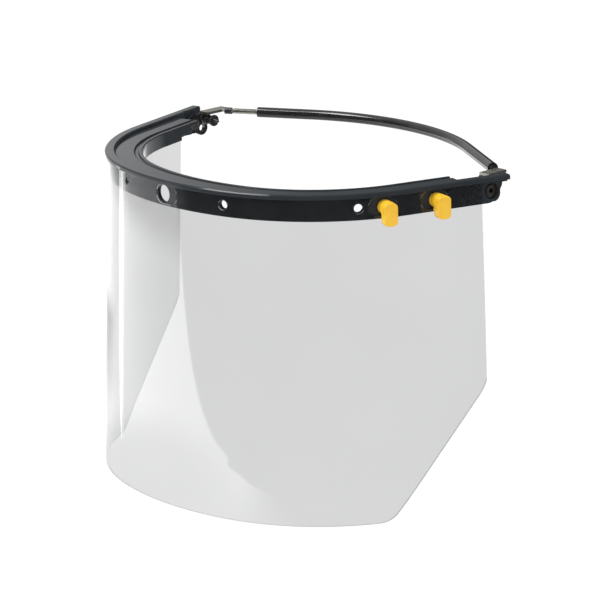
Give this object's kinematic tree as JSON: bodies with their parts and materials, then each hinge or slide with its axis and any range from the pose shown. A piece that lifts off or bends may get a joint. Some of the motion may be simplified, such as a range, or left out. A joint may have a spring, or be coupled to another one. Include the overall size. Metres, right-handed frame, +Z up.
{
  "type": "hard hat face shield carrier",
  "caption": "U-shaped black visor frame for a hard hat with a clear curved visor, yellow quarter-turn knobs and a sprung rear band on pivoting clips.",
  "frame": {"origin": "midway between the two side pivots, on their common axis", "axes": "+X the wearer's left, -Y the front of the visor, +Z up"},
  "size_m": [0.2766, 0.2086, 0.1964],
  "materials": {
    "black_frame": "gloss",
    "black_clip": "satin",
    "clear_sheet": "gloss",
    "yellow_knob": "satin",
    "clip_steel": "satin",
    "nylon": "matte",
    "dull_metal": "satin",
    "black_sleeve": "satin",
    "steel": "satin"
  },
  "bodies": {
    "carrier": {"carrier_frame": "black_frame", "visor": "clear_sheet", "knob_washer_front_left": "nylon", "knob_washer_rear_left": "nylon", "knob_washer_rear_right": "nylon", "pivot_rivet_left": "dull_metal", "pivot_rivet_right": "dull_metal", "pivot_washer_left": "steel", "pivot_washer_right": "steel"},
    "clip_left": {"pivot_clip_left": "black_clip", "hook_pin_left": "steel"},
    "clip_right": {"pivot_clip_right": "black_clip", "hook_pin_right": "steel"},
    "band": {"spring_hook_left": "steel", "spring_hook_right": "steel", "ferrule_left": "dull_metal", "ferrule_right": "dull_metal", "band_spring": "steel", "band_core": "steel", "band_sleeve": "black_sleeve"},
    "knob_front_left": {"knob_front_left": "yellow_knob", "knob_clip_front_left": "clip_steel"},
    "knob_rear_left": {"knob_rear_left": "yellow_knob", "knob_clip_rear_left": "clip_steel"},
    "knob_rear_right": {"knob_rear_right": "yellow_knob", "knob_clip_rear_right": "clip_steel"}
  },
  "joints": [
    {"name": "clip_left_pivot", "type": "hinge", "parent": "carrier", "child": "clip_left", "pos_m": [0, 0, 0], "axis": [1, 0, 0], "range_deg": [-15, 90]},
    {"name": "clip_right_pivot", "type": "hinge", "parent": "carrier", "child": "clip_right", "pos_m": [0, 0, 0], "axis": [1, 0, 0], "range_deg": [-15, 90]},
    {"name": "band_swing", "type": "hinge", "parent": "clip_left", "child": "band", "pos_m": [0, 0.0085, 0.0024], "axis": [1, 0, 0], "range_deg": [-20, 30]},
    {"name": "knob_front_left_turn", "type": "hinge", "parent": "carrier", "child": "knob_front_left", "pos_m": [0.11199, -0.06672, 0], "axis": [-0.9135, 0.4068, 0], "range_deg": [0, 90]},
    {"name": "knob_rear_left_turn", "type": "hinge", "parent": "carrier", "child": "knob_rear_left", "pos_m": [0.122, -0.03583, 0], "axis": [-0.96, 0.28, 0], "range_deg": [0, 90]},
    {"name": "knob_rear_right_turn", "type": "hinge", "parent": "carrier", "child": "knob_rear_right", "pos_m": [-0.122, -0.03583, 0], "axis": [-0.96, -0.28, 0], "range_deg": [0, 90]}
  ],
  "couplings": [
    {"joint": "clip_right_pivot", "follows": "clip_left_pivot", "ratio": 1}
  ]
}
